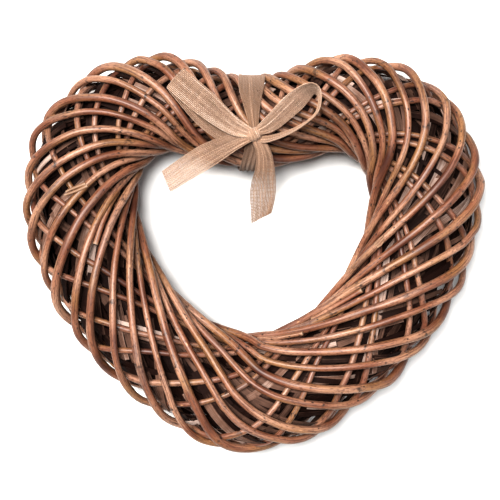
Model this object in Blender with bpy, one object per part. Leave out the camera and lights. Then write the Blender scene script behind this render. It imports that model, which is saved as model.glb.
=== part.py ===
"""A wicker heart ornament, lying on its back with its bow uppermost.

A bundle of split willow is bent to a heart. Thin rods are wound round it one way, thicker rods
are wound over them the other way, and a hessian ribbon is tied round the dip at the top.
Metres, +Z up, +Y to the top of the heart, +X to its right. A share of the heart's line starts at
the dip and runs down the left side to the tip and up the right. An angle round the tube is 0 at
the outer rim and a quarter turn at the front.
"""

import math
import random
from typing import NamedTuple

import bmesh
import bpy
import numpy as np
from mathutils import Vector

# The heart, over everything but the bow
HEART_WIDTH = 0.462
HEART_HEIGHT = 0.401
HEART_DEPTH = 0.092

# The tube's proportions: shares of the heart's line, and half the width there as a share of
# the heart's own
TUBE_SHARES = ((0.03, 0.1006), (0.20, 0.1266), (0.40, 0.1175), (0.50, 0.1333))
SHOULDER_SHARE = 0.095  # of the line, where it is highest
# The ribbon pulls the tube flatter at the dip, and this share of the line each way from it
RIBBON_NIP = 0.0055
NIP_SHARE = 0.075

# Rods, at the butt and at the tip
OUTER_BUTT = 0.0068
OUTER_TIP = 0.0044
INNER_BUTT = 0.0050
INNER_TIP = 0.0036
ROD_GAP = 0.0004  # between neighbours in a layer, at the least
LAYER_GAP = 0.0022  # between layers, and between the inner rods and the splits
END_GAP = 0.004  # between the end of a rod and the butt of the one that follows it

# How the rods are laid
OUTER_RODS = 21
INNER_RODS = 16
TURNS = 2
OUTER_ADVANCE = 0.405  # share of the heart's line that a rod travels in one turn
INNER_ADVANCE = 0.36
RIM_SHARE = 3 / 8  # of a rod's length, its middle crossing of the inner rim
LINGER = 0.45  # how much longer a rod stays near the inner rim than near the outer one
RIM_TUCK = 0.08  # how much less way it makes past the rims than across the front and the back
BACK_LEAD = 0.20  # how much more way it makes across the back than across the front
# Rods lie closer over the lobes and round the tip than down the sides, where there is room
TOP_CROWDING = 0.30
TIP_CROWDING = 0.08
NEST_SHARE = 0.5  # a rod's second turn lies this share of a butt deeper at the inner rim
END_SCATTER = math.radians(24)  # the ends lie this far each way from the middle of the back
BACK = math.pi / 2
SEED = 11

# The bundle of splits: flats round the tube, and how much of each pitch is flat
CORE_SPLITS = 7
SPLIT_FLAT = 0.66

# The hessian ribbon
RIBBON_WIDTH = 0.025
RIBBON_THICKNESS = 0.0012
RIBBON_GAP = 0.0006
KNOT_SIZE = (0.016, 0.016, 0.012)
KNOT_ANGLE = 106  # degrees round the tube
KNOT_LEAN = 0.004  # the knot stands this far to the right of the dip
LEAN_REACH = 60  # degrees round the tube from the knot over which the band leans
WIDTH_SHARE_AT_KNOT = 0.40  # the ribbon's gathered width, as a share of its own
WIDTH_SHARE_BELOW_KNOT = 0.56
BOW_SPAN = 0.100
# Routes from the middle of the knot. Each row holds x, y and z as shares of BOW_SPAN, the width
# as a share of the ribbon's, and the bearing and the tilt of that width in degrees.
LEFT_LOOP = (
    (-0.01, 0.00, 0.015, 0.36, 55, 0),
    (-0.20, 0.08, 0.07, 0.68, 62, 0),
    (-0.48, 0.29, 0.15, 0.96, 55, 0),
    (-0.74, 0.51, 0.17, 1.0, 50, 0),
    (-0.80, 0.56, 0.11, 1.0, 48, 0),
    (-0.72, 0.47, 0.065, 1.0, 50, 0),
    (-0.44, 0.22, 0.04, 0.92, 55, 0),
    (-0.18, 0.03, 0.00, 0.60, 62, 0),
    (-0.02, -0.01, -0.025, 0.36, 55, 0),
)
RIGHT_LOOP = (
    (0.02, 0.025, 0.02, 0.24, 110, 20),
    (0.16, 0.10, 0.08, 0.72, 134, 35),
    (0.40, 0.33, 0.17, 0.96, 134, 40),
    (0.57, 0.47, 0.20, 1.0, 110, 66),
    (0.65, 0.41, 0.19, 1.0, 30, 84),
    (0.61, 0.22, 0.17, 1.0, -10, 84),
    (0.40, 0.06, 0.13, 0.96, -52, 80),
    (0.16, -0.03, 0.05, 0.56, -65, 62),
    (0.02, -0.04, -0.02, 0.24, -80, 20),
)
LEFT_TAIL = (
    (-0.02, -0.01, 0.005, 0.36, 116, 0),
    (-0.22, -0.08, 0.02, 0.64, 116, 0),
    (-0.45, -0.19, 0.00, 0.88, 116, 0),
    (-0.68, -0.30, -0.05, 0.96, 114, 0),
    (-0.89, -0.44, -0.11, 0.88, 110, 0),
)
LOWER_TAIL = (
    (0.01, -0.02, 0.00, 0.36, 0, 0),
    (0.08, -0.14, 0.01, 0.52, 22, 0),
    (0.11, -0.30, -0.01, 0.80, 8, 0),
    (0.08, -0.54, -0.06, 0.96, -4, 0),
    (0.05, -0.81, -0.10, 0.88, -4, 0),
)

# The line through the middle of the tube, right half, from the dip to the tip: shares of its
# half width, and of its height above the tip
LINE_SHAPE = (
    (0.0, 0.935),
    (0.234, 0.961),
    (0.492, 1.0),
    (0.890, 0.893),
    (0.996, 0.630),
    (0.867, 0.394),
    (0.644, 0.209),
    (0.316, 0.059),
    (0.0, 0.0),
)

# Facets
OUTER_STEPS = 16  # lengths of rod in one turn
INNER_STEPS = 12
CORE_STATIONS = 32
KNOT_SEGMENTS, KNOT_RINGS = 8, 5
BAND_STATIONS = 24
LINE_POINTS = 1200
BEND_WINDOW = 12
CROWDING_ROUNDS = 40
CROWDING_LEAST = 0.2


class Layer(NamedTuple):
    """One layer of rods wound round the tube."""

    name: str
    rods: int
    hand: int  # 1 where the rods travel outward over the front, -1 where they travel inward
    advance: float
    inset: float  # depth of the rods' middle under the surface of the tube, at the outer rim
    sink: float  # how much deeper they lie at the inner rim
    nest: float  # and how much more than that in a rod's second turn
    butt: float
    tip: float
    steps: int


def smooth(share):
    """Ease from 0 to 1."""
    share = np.clip(share, 0.0, 1.0)
    return share * share * (3 - 2 * share)


def closed_spline(points, count):
    """Points evenly spaced along a closed cubic curve through the given ones, and its length."""
    points = np.array(points)
    total = len(points)
    chord = np.linalg.norm(np.roll(points, -1, axis=0) - points, axis=1)
    slope = (np.roll(points, -1, axis=0) - points) / chord[:, None]
    matrix = np.zeros((total, total))
    for i in range(total):
        matrix[i, i - 1] += chord[i - 1]
        matrix[i, i] += 2 * (chord[i - 1] + chord[i])
        matrix[i, (i + 1) % total] += chord[i]
    bend = np.linalg.solve(matrix, 6 * (slope - np.roll(slope, 1, axis=0)))
    run = np.linspace(0, 1, count, endpoint=False)[:, None]
    pieces = []
    for i in range(total):
        j = (i + 1) % total
        cubic = (bend[i] * (1 - run) ** 3 + bend[j] * run**3) * chord[i] ** 2 / 6
        start = points[i] - bend[i] * chord[i] ** 2 / 6
        end = points[j] - bend[j] * chord[i] ** 2 / 6
        pieces.append(cubic + start * (1 - run) + end * run)
    line = np.vstack(pieces + [pieces[0][:1]])
    walked = np.concatenate([[0], np.cumsum(np.linalg.norm(np.diff(line, axis=0), axis=1))])
    even = np.linspace(0, walked[-1], count + 1)[:-1]
    line = np.stack([np.interp(even, walked, line[:, k]) for k in (0, 1)], axis=1)
    return line, walked[-1]


def from_dip(share):
    """The shorter way along the heart's line from the dip, as a share of the whole line."""
    share = np.asarray(share) % 1.0
    return np.minimum(share, 1 - share)


def tube_half_width(share):
    """Half the tube's width at a share of the heart's line."""
    share = from_dip(share)
    half = np.full(share.shape, TUBE_SHARES[0][1])
    for (place, size), (next_place, next_size) in zip(TUBE_SHARES, TUBE_SHARES[1:]):
        eased = size + (next_size - size) * smooth((share - place) / (next_place - place))
        half = np.where(share >= place, eased, half)
    return half * HEART_WIDTH


def tube_half_depth(share):
    """Half the tube's depth at a share of the heart's line."""
    return HEART_DEPTH / 2 - RIBBON_NIP * smooth(1 - from_dip(share) / NIP_SHARE)


def heart_line():
    """Even points along the middle of the tube, and its length."""
    lobe, tip = TUBE_SHARES[1][0], TUBE_SHARES[-1][0]
    half_width = HEART_WIDTH / 2 - tube_half_width(lobe)
    height = HEART_HEIGHT - tube_half_width(SHOULDER_SHARE) - tube_half_width(tip)
    right = [(x * half_width, y * height) for x, y in LINE_SHAPE]
    left = [(-x, y) for x, y in right[1:-1]]
    return closed_spline([right[0]] + left + right[:0:-1], LINE_POINTS)


LINE, LINE_LENGTH = heart_line()
ALONG = np.roll(LINE, -1, axis=0) - np.roll(LINE, 1, axis=0)
ALONG /= np.linalg.norm(ALONG, axis=1)[:, None]
OUTWARD = np.stack([ALONG[:, 1], -ALONG[:, 0]], axis=1)
SHARES = np.arange(LINE_POINTS) / LINE_POINTS


def turning():
    """How sharply the heart's line turns, in radians a metre."""
    before, after = np.roll(ALONG, BEND_WINDOW, axis=0), np.roll(ALONG, -BEND_WINDOW, axis=0)
    swept = np.arcsin(before[:, 0] * after[:, 1] - before[:, 1] * after[:, 0])
    return swept / (2 * BEND_WINDOW * LINE_LENGTH / LINE_POINTS)


def on_line(table, share):
    """The value of a table kept along the heart's line, at any share of it."""
    place = (np.asarray(share) % 1.0) * LINE_POINTS
    before = np.floor(place).astype(int) % LINE_POINTS
    part = (place - np.floor(place))[..., None]
    return table[before] * (1 - part) + table[(before + 1) % LINE_POINTS] * part


def tube_point(share, angle, inset):
    """Points under the tube's surface, or over it where the inset is negative."""
    across = (tube_half_width(share) - inset) * np.cos(angle)
    height = (tube_half_depth(share) - inset) * np.sin(angle)
    flat = on_line(LINE, share) + on_line(OUTWARD, share) * across[..., None]
    return np.concatenate([flat, (HEART_DEPTH / 2 + height)[..., None]], axis=-1)


def sunk(angle):
    """How far something that lies deeper at the inner rim has sunk, from 0 to 1."""
    return (1 - np.cos(angle)) / 2


def crowding(layer):
    """How closely a layer's rods lie along the heart's line, against lying evenly.

    Where the inner rim bends too sharply for them they spread, and close up elsewhere.
    """
    thickness = layer.butt + (layer.tip - layer.butt) * RIM_SHARE
    pitch = math.sqrt((thickness + ROD_GAP) ** 2 - layer.nest**2)
    inset = layer.inset + layer.sink
    inner_rim = LINE_LENGTH * (1 - (tube_half_width(SHARES) - inset) * turning())
    spacing = inner_rim / (TURNS * layer.rods)
    along = inner_rim * layer.advance * (1 + LINGER - RIM_TUCK) / (2 * np.pi)
    climb = tube_half_depth(SHARES) - inset
    # The rods lean along the rim, more so where they lie wide, which brings them closer again
    most = np.sqrt(np.clip((spacing / pitch) ** 2 - (along / climb) ** 2, CROWDING_LEAST**2, None))
    reach = LINE_POINTS // (2 * TURNS * layer.rods)  # half the way from one rod to the next
    most = np.min([np.roll(most, shift) for shift in range(-reach, reach + 1)], axis=0)
    laid = np.minimum(1 + TOP_CROWDING * np.cos(2 * np.pi * SHARES)
                      + TIP_CROWDING * np.cos(4 * np.pi * SHARES), most)
    for _ in range(CROWDING_ROUNDS):
        laid = np.minimum(laid / laid.mean(), most)
    return laid / laid.mean()


def laid_shares(layer):
    """The share of all the winding that lies before each share of the heart's line."""
    close = crowding(layer)
    steps = (close + np.roll(close, -1)) / 2
    return np.concatenate([[0], np.cumsum(steps)]) / LINE_POINTS


def rod_path(layer, laid_before, first, share_per_turn, start, end):
    """Points along one rod, and how far round the tube each of them is wound."""
    step = 2 * math.pi / layer.steps
    between = np.arange(math.ceil(start / step + 0.2), math.floor(end / step - 0.2) + 1) * step
    wound = np.concatenate([[start], between, [end]])
    turns = (wound - LINGER * np.sin(wound) - RIM_TUCK * np.sin(2 * wound) / 2
             + BACK_LEAD * (1 - np.cos(wound))) / (2 * np.pi)
    laid = (first + layer.hand * share_per_turn * turns) % 1.0
    share = np.interp(laid, laid_before, np.append(SHARES, 1.0))
    second_turn = np.floor(wound / (2 * np.pi)) % 2
    inset = layer.inset + (layer.sink + layer.nest * second_turn) * sunk(wound)
    return tube_point(share, -wound, inset), wound


def material(name, colour, roughness):
    """A Principled material with a base colour and a roughness."""
    made = bpy.data.materials.new(name)
    made.use_nodes = True
    shader = made.node_tree.nodes["Principled BSDF"]
    shader.inputs["Base Color"].default_value = (*colour, 1.0)
    shader.inputs["Roughness"].default_value = roughness
    shader.inputs["Metallic"].default_value = 0.0
    return made


def link(name, data, finish, holder, collection):
    """Add an object with its material to a collection, held by the heart's empty."""
    data.materials.append(finish)
    made = bpy.data.objects.new(name, data)
    made.parent = holder
    collection.objects.link(made)
    return made


def rod_curve(name, points, thickness):
    """A tapered rod as a four-sided poly curve with closed ends."""
    curve = bpy.data.curves.new(name, "CURVE")
    curve.dimensions = "3D"
    curve.bevel_depth = thickness[0] / 2
    curve.bevel_resolution = 0
    curve.use_fill_caps = True
    spline = curve.splines.new("POLY")
    spline.points.add(len(points) - 1)
    for place, point, size in zip(spline.points, points, thickness):
        place.co = (*point, 1.0)
        place.radius = size / thickness[0]
    return curve


def wound_layer(layer, finish, holder, collection):
    """All the rods of a layer. Each ends at the back, where the next one in its run begins."""
    crossings = TURNS * layer.rods
    jump = 2 * round((layer.advance * crossings - 1) / 2) + 1
    chance = random.Random(SEED)
    starts = [BACK + chance.uniform(-END_SCATTER, END_SCATTER) for _ in range(layer.rods)]
    laid_before = laid_shares(layer)
    for number in range(layer.rods):
        follower = (number + layer.hand * jump) % layer.rods
        end = starts[follower] + TURNS * 2 * math.pi - END_GAP / (HEART_DEPTH / 2)
        points, wound = rod_path(
            layer, laid_before, number / layer.rods, jump / crossings, starts[number], end)
        run = (wound - wound[0]) / (wound[-1] - wound[0])
        thickness = layer.butt + (layer.tip - layer.butt) * run
        name = f"{layer.name}_{number + 1:02d}"
        link(name, rod_curve(name, points, thickness), finish, holder, collection)


def loft(name, rings, closed):
    """A closed solid through rings of points, its ends capped or joined to each other."""
    mesh = bmesh.new()
    made = [[mesh.verts.new(point) for point in ring] for ring in rings]
    for ring, following in zip(made, made[1:] + made[:1] if closed else made[1:]):
        for near in range(len(ring)):
            far = (near + 1) % len(ring)
            mesh.faces.new((ring[near], ring[far], following[far], following[near]))
    if not closed:
        mesh.faces.new(made[0])
        mesh.faces.new(made[-1])
    bmesh.ops.recalc_face_normals(mesh, faces=mesh.faces)
    data = bpy.data.meshes.new(name)
    mesh.to_mesh(data)
    mesh.free()
    return data


def core_of_splits(finish, holder, collection, inset, sink):
    """The bundle of split willow inside: a closed ring whose broad flats are the splits."""
    corners = [split + edge for split in range(CORE_SPLITS) for edge in (0, SPLIT_FLAT)]
    angles = np.array(corners) * 2 * math.pi / CORE_SPLITS
    rings = []
    for station in range(CORE_STATIONS):
        share = np.full(angles.shape, station / CORE_STATIONS)
        rings.append(tube_point(share, angles, inset + sink * sunk(angles)))
    link("split_core", loft("split_core", rings, True), finish, holder, collection)


def route(points, count):
    """Rows of numbers evenly placed on a smooth curve through a few chosen rows."""
    rows = np.array([points[0], *points, points[-1]], dtype=float)
    made = []
    for run in np.linspace(0, len(points) - 1, count):
        k = min(int(run), len(points) - 2)
        t = run - k
        a, b, c, d = rows[k:k + 4]
        made.append(0.5 * (2 * b + (c - a) * t + (2 * a - 5 * b + 4 * c - d) * t**2
                           + (3 * b - a - 3 * c + d) * t**3))
    return np.array(made)


def ribbon_strip(name, knot, points):
    """A length of ribbon that leaves the knot along one of the routes above."""
    rows = route(points, 2 * len(points) + 1)
    middle = rows[:, :3] * BOW_SPAN
    heading = np.gradient(middle, axis=0)
    heading /= np.linalg.norm(heading, axis=1)[:, None]
    rings = []
    for place, ahead, row in zip(middle, heading, rows):
        bearing, tilt = np.radians(row[4:])
        across = np.array((math.cos(bearing) * math.cos(tilt), math.sin(bearing) * math.cos(tilt),
                           math.sin(tilt)))
        through = np.cross(ahead, across)
        through *= RIBBON_THICKNESS / 2 / np.linalg.norm(through)
        across *= row[3] * RIBBON_WIDTH / 2
        ring = (across + through, across - through, -across - through, through - across)
        rings.append([knot + place + corner for corner in ring])
    return loft(name, rings, False)


def band_width(angle):
    """The ribbon's width on its way round the tube: gathered at the knot and below it."""
    past = np.degrees(angle) - KNOT_ANGLE
    above = WIDTH_SHARE_AT_KNOT + (1 - WIDTH_SHARE_AT_KNOT) * smooth(-past / 100)
    below = WIDTH_SHARE_BELOW_KNOT + (1 - WIDTH_SHARE_BELOW_KNOT) * smooth((past - 60) / 75)
    return RIBBON_WIDTH * np.where(past < 0, above, below)


def ribbon_band(name):
    """The ribbon round the tube at the dip, straight across its width, as a taut ribbon is."""
    half_step = math.pi / BAND_STATIONS
    angles = (2 * np.arange(BAND_STATIONS) + 1) * half_step
    half = band_width(angles) / 2 / LINE_LENGTH
    lean = smooth(1 - abs(np.degrees(angles) - KNOT_ANGLE) / LEAN_REACH)
    middle = -KNOT_LEAN / LINE_LENGTH * lean
    lift = RIBBON_GAP + HEART_DEPTH / 2 * (1 / math.cos(half_step) - 1)
    corners = ((half, lift), (half, lift + RIBBON_THICKNESS),
               (-half, lift + RIBBON_THICKNESS), (-half, lift))
    edges = [tube_point(middle + side, angles, -height) for side, height in corners]
    return loft(name, list(zip(*edges)), True)


def hessian_bow(finish, holder, collection, helpers):
    """The ribbon: a band round the dip, its knot, two loops and two tails, tied from one length."""
    share = np.float64(-KNOT_LEAN / LINE_LENGTH)
    angle = np.float64(math.radians(KNOT_ANGLE))
    knot = tube_point(share, angle, -RIBBON_GAP - KNOT_SIZE[2] / 2)
    lump = bmesh.new()
    bmesh.ops.create_uvsphere(lump, u_segments=KNOT_SEGMENTS,
                              v_segments=KNOT_RINGS, radius=0.5)
    bmesh.ops.scale(lump, verts=lump.verts, vec=KNOT_SIZE)
    bmesh.ops.translate(lump, verts=lump.verts, vec=Vector(knot))
    knot_mesh = bpy.data.meshes.new("knot")
    lump.to_mesh(knot_mesh)
    lump.free()
    pieces = {"knot": knot_mesh}
    routes = {"left_loop": LEFT_LOOP, "right_loop": RIGHT_LOOP,
              "left_tail": LEFT_TAIL, "lower_tail": LOWER_TAIL}
    for name, points in routes.items():
        pieces[name] = ribbon_strip(name, knot, points)
    bow = link("hessian_bow", ribbon_band("hessian_bow"), finish, holder, collection)
    for name, data in pieces.items():
        piece = link(name, data, finish, holder, helpers)
        piece.hide_render = True
        piece.display_type = "WIRE"
        joined = bow.modifiers.new(name, "BOOLEAN")
        joined.operation = "UNION"
        joined.object = piece


def stand_on_floor(collection, holder):
    """Move the heart's empty so that the ornament lies on z = 0, centred over the origin."""
    bpy.context.view_layer.update()
    graph = bpy.context.evaluated_depsgraph_get()
    corners = []
    for piece in collection.objects:
        if piece.type != "EMPTY":
            seen = piece.evaluated_get(graph)
            mesh = seen.to_mesh()
            points = np.array([vertex.co for vertex in mesh.vertices])
            corners += [points.min(axis=0), points.max(axis=0)]
            seen.to_mesh_clear()
    low, high = np.min(corners, axis=0), np.max(corners, axis=0)
    holder.location = (-(low[0] + high[0]) / 2, -(low[1] + high[1]) / 2, -low[2])


def main():
    """Build the ornament."""
    for old in list(bpy.data.objects):
        bpy.data.objects.remove(old)
    collection = bpy.data.collections.new("wicker_heart_ornament")
    helpers = bpy.data.collections.new("helpers")
    for group in (collection, helpers):
        bpy.context.scene.collection.children.link(group)
    holder = bpy.data.objects.new("heart_frame", None)
    collection.objects.link(holder)

    brown = material("brown_willow", (0.36, 0.17, 0.08), 0.55)
    thin = material("thin_willow", (0.42, 0.21, 0.11), 0.55)
    splits = material("split_willow", (0.20, 0.14, 0.11), 0.8)
    hessian = material("jute_hessian", (0.55, 0.38, 0.22), 0.9)

    nest = NEST_SHARE * OUTER_BUTT
    outer_middle = OUTER_BUTT / 2
    inner_middle = OUTER_BUTT + LAYER_GAP + INNER_BUTT / 2
    core_inset = inner_middle + INNER_BUTT / 2 + LAYER_GAP
    outer = Layer("outer_rod", OUTER_RODS, 1, OUTER_ADVANCE, outer_middle, 0, nest,
                  OUTER_BUTT, OUTER_TIP, OUTER_STEPS)
    inner = Layer("inner_rod", INNER_RODS, -1, INNER_ADVANCE, inner_middle, nest, 0,
                  INNER_BUTT, INNER_TIP, INNER_STEPS)

    wound_layer(outer, brown, holder, collection)
    wound_layer(inner, thin, holder, collection)
    core_of_splits(splits, holder, collection, core_inset, nest)
    hessian_bow(hessian, holder, collection, helpers)
    stand_on_floor(collection, holder)


main()
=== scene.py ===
"""Looks of a wicker heart ornament that lies on its back, seen from straight above.

Willow rods are wound both ways round a bundle of split willow that is bent to a heart, and a
hessian ribbon is tied in a bow round the dip. Metres, +Z up, +Y to the top of the heart.
"""

from __future__ import annotations

import logging
import math
import random
from dataclasses import dataclass, field
from enum import Enum
from functools import partial
from typing import Any

import bpy
import numpy as np
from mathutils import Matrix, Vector

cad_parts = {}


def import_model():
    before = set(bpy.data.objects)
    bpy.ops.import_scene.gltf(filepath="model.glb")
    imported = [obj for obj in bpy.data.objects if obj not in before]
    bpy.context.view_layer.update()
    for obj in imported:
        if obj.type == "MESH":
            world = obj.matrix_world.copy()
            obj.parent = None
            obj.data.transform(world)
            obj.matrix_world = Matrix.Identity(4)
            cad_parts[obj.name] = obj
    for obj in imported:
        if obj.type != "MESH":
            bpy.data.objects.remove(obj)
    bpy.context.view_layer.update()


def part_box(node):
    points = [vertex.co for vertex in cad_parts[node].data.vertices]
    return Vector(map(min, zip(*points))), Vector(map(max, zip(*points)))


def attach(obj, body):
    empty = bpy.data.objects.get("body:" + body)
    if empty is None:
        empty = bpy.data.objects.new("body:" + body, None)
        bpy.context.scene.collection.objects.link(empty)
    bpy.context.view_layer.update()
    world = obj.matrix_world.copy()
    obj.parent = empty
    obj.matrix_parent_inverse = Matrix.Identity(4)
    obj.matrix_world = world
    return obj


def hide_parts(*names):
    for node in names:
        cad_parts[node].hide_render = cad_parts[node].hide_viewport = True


log = logging.getLogger("wicker_heart")

Array = np.ndarray


def linear(colour: str) -> tuple[float, float, float, float]:
    """Turn an sRGB hex colour to linear.

    Args:
        colour: six hex digits after a hash sign.

    Returns:
        Linear red, green and blue, and an alpha of 1.
    """
    shares = [int(colour[k:k + 2], 16) / 255 for k in (1, 3, 5)]
    made = [c / 12.92 if c <= 0.04045 else ((c + 0.055) / 1.055) ** 2.4 for c in shares]
    return (made[0], made[1], made[2], 1.0)


def feed(tree: bpy.types.NodeTree, node: bpy.types.Node, inputs: Any) -> None:
    """Set or link the inputs of a node.

    Args:
        tree: the node tree.
        node: the node.
        inputs: for each input, in order or by its name or number, a value, the output that
            feeds it, or the node whose first output does.
    """
    for name, given in inputs.items() if isinstance(inputs, dict) else enumerate(inputs):
        value = given.outputs[0] if isinstance(given, bpy.types.Node) else given
        if isinstance(value, bpy.types.NodeSocket):
            tree.links.new(value, node.inputs[name])
        else:
            node.inputs[name].default_value = value


def add_node(tree: bpy.types.NodeTree, kind: str, inputs: Any = (),
             stops: tuple[tuple[float, str], ...] = (), **settings: Any) -> bpy.types.Node:
    """Add a node with its settings, its values and its links.

    Args:
        tree: the node tree.
        kind: the node's type.
        inputs: what its inputs hold or are fed by, as feed takes them.
        stops: of a colour ramp, each stop's place and colour.
        **settings: the node's own properties.

    Returns:
        The new node.
    """
    node = tree.nodes.new(kind)
    for name, value in settings.items():
        setattr(node, name, value)
    feed(tree, node, inputs)
    for _ in stops[2:]:
        node.color_ramp.elements.new(0.5)
    for number, (position, colour) in enumerate(stops):
        node.color_ramp.elements[number].position = position
        node.color_ramp.elements[number].color = linear(colour)
    return node


def smooth(share: Array) -> Array:
    """Ease from 0 to 1."""
    share = np.clip(share, 0.0, 1.0)
    return share * share * (3 - 2 * share)


def unit(vectors: Array) -> Array:
    """Bring each vector to a length of 1."""
    return vectors / np.linalg.norm(vectors, axis=-1, keepdims=True)


def lengths(points: Array) -> Array:
    """How far along a path each of its points lies."""
    return np.concatenate([[0], np.cumsum(np.linalg.norm(np.diff(points, axis=0), axis=1))])


def closed_spline(points: list[tuple[float, float]], count: int) -> tuple[Array, float]:
    """Run a closed cubic curve through points.

    Args:
        points: the points, in order.
        count: how many points the result has.

    Returns:
        Points evenly spaced along the curve, and its length.
    """
    knots = np.array(points)
    total = len(knots)
    chord = np.linalg.norm(np.roll(knots, -1, axis=0) - knots, axis=1)
    slope = (np.roll(knots, -1, axis=0) - knots) / chord[:, None]
    matrix = np.zeros((total, total))
    for i in range(total):
        matrix[i, i - 1] += chord[i - 1]
        matrix[i, i] += 2 * (chord[i - 1] + chord[i])
        matrix[i, (i + 1) % total] += chord[i]
    bend = np.linalg.solve(matrix, 6 * (slope - np.roll(slope, 1, axis=0)))
    run = np.linspace(0, 1, count, endpoint=False)[:, None]
    pieces = []
    for i in range(total):
        j = (i + 1) % total
        cubic = (bend[i] * (1 - run) ** 3 + bend[j] * run**3) * chord[i] ** 2 / 6
        start = knots[i] - bend[i] * chord[i] ** 2 / 6
        end = knots[j] - bend[j] * chord[i] ** 2 / 6
        pieces.append(cubic + start * (1 - run) + end * run)
    line = np.vstack(pieces + [pieces[0][:1]])
    reached = lengths(line)
    even = np.linspace(0, reached[-1], count + 1)[:-1]
    return np.stack([np.interp(even, reached, column) for column in line.T], 1), reached[-1]


@dataclass
class HeartTube:
    """The tube that the rods are wound on, as the solids have it.

    A share of the heart's line starts at the dip and runs down the left side to the tip and up
    the right. An angle round the tube is 0 at the outer rim and a quarter turn at the front.
    """

    width: float = 0.462
    height: float = 0.401
    depth: float = 0.092
    places: tuple[float, ...] = (0.03, 0.20, 0.40, 0.50)
    shares: tuple[float, ...] = (0.1006, 0.1266, 0.1175, 0.1333)  # half widths against width
    lobe: int = 1  # which of the places is the widest of the heart
    shoulder_place: float = 0.095
    nip: float = 0.0055  # how much flatter the ribbon pulls the tube at the dip
    nip_reach: float = 0.075
    top_crowding: float = 0.30
    tip_crowding: float = 0.08
    linger: float = 0.45  # how much longer a rod stays near the inner rim
    tuck: float = 0.08  # how much less way it makes past the rims
    lead: float = 0.20  # how much more way it makes across the back
    points: int = 1200
    # The line through the middle of the tube, right half, from the dip to the tip
    shape: tuple[tuple[float, float], ...] = (
        (0.0, 0.935), (0.234, 0.961), (0.492, 1.0), (0.890, 0.893), (0.996, 0.630),
        (0.867, 0.394), (0.644, 0.209), (0.316, 0.059), (0.0, 0.0))
    half_widths: tuple[float, ...] = field(init=False)
    line: Array = field(init=False)
    outward: Array = field(init=False)
    length: float = field(init=False)
    place: Array = field(init=False)

    def __post_init__(self) -> None:
        """Work out the line of the tube."""
        self.half_widths = tuple(share * self.width for share in self.shares)
        across = self.width / 2 - self.half_widths[self.lobe]
        tall = self.height - float(self.half_width(self.shoulder_place)) - self.half_widths[-1]
        right = [(x * across, y * tall) for x, y in self.shape]
        left = [(-x, y) for x, y in right[1:-1]]
        self.line, self.length = closed_spline([right[0]] + left + right[:0:-1], self.points)
        along = unit(np.roll(self.line, -1, axis=0) - np.roll(self.line, 1, axis=0))
        self.outward = np.stack([along[:, 1], -along[:, 0]], axis=1)
        self.place = np.zeros(3)

    def settle(self, low: Vector, high: Vector, own: Array) -> None:
        """Move the tube to where the frame has it.

        Args:
            low, high: the box of a CAD node.
            own: the same node's corners as this tube makes them.
        """
        self.place = (np.array(low) + np.array(high) - own.min(axis=0) - own.max(axis=0)) / 2

    def from_dip(self, share: Array) -> Array:
        """The shorter way along the line from the dip, as a share of the whole line."""
        share = np.asarray(share) % 1.0
        return np.minimum(share, 1 - share)

    def half_width(self, share: Array) -> Array:
        """Ease the tube's width from each of its places to the next.

        Args:
            share: shares of the line.

        Returns:
            Half the width at each.
        """
        share = self.from_dip(share)
        half = np.full(share.shape, self.half_widths[0])
        ends = zip(self.places, self.half_widths, self.places[1:], self.half_widths[1:])
        for place, size, next_place, next_size in ends:
            eased = size + (next_size - size) * smooth((share - place) / (next_place - place))
            half = np.where(share >= place, eased, half)
        return half

    def half_depth(self, share: Array) -> Array:
        """Half the tube's depth at a share of the line."""
        return self.depth / 2 - self.nip * smooth(1 - self.from_dip(share) / self.nip_reach)

    def read(self, table: Array, share: Array) -> Array:
        """Read a table that is kept along the line.

        Args:
            table: the table, one row a point of the line.
            share: the shares of the line to read it at.

        Returns:
            Its rows there, blended between the nearest two.
        """
        where = (np.asarray(share) % 1.0) * self.points
        before = np.floor(where).astype(int) % self.points
        part = (where - np.floor(where))[..., None]
        return table[before] * (1 - part) + table[(before + 1) % self.points] * part

    def point(self, share: Array, angle: Array, inset: Array | float) -> Array:
        """Place points under the tube's surface, or over it where the inset is negative.

        Args:
            share: where they lie along the line.
            angle: where they lie round the tube.
            inset: how far under the surface they lie.

        Returns:
            The points.
        """
        across = (self.half_width(share) - inset) * np.cos(angle)
        height = (self.half_depth(share) - inset) * np.sin(angle)
        flat = self.read(self.line, share) + self.read(self.outward, share) * across[..., None]
        return np.concatenate([flat, (self.depth / 2 + height)[..., None]], -1) + self.place

    def sunk(self, angle: Array) -> Array:
        """How far something that lies deeper at the inner rim has sunk, from 0 to 1."""
        return (1 - np.cos(angle)) / 2

    def winding(self, first: Array | float, per_turn: float, wound: Array) -> Array:
        """The share of the line that a rod has reached.

        Args:
            first: the share of all the winding that lies before it.
            per_turn: how much of the winding it travels in a turn.
            wound: how far round the tube it is.

        Returns:
            Shares of the line, one for each value of wound.
        """
        turns = (wound - self.linger * np.sin(wound) - self.tuck * np.sin(2 * wound) / 2
                 + self.lead * (1 - np.cos(wound))) / (2 * np.pi)
        return self.crowded(first + per_turn * turns)

    def facing(self, share: Array, angle: Array) -> Array:
        """The outward direction of the tube's surface."""
        return unit(self.point(share, angle, -0.5 * self.depth) - self.point(share, angle, 0.0))

    def crowded(self, laid: Array) -> Array:
        """Find where a share of all the winding lies, which crowds at the dip and the tip.

        Args:
            laid: shares of the winding.

        Returns:
            The share of the line at each.
        """
        shares = np.linspace(0, 1, self.points + 1)
        once, twice = 2 * np.pi * shares, 4 * np.pi * shares
        before = (shares + self.top_crowding * np.sin(once) / (2 * np.pi)
                  + self.tip_crowding * np.sin(twice) / (4 * np.pi))
        return np.interp(np.asarray(laid) % 1.0, before, shares)


class Hand(Enum):
    """Which way the rods of a layer travel over the front of the tube."""

    OUTWARD = 1
    INWARD = -1


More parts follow.
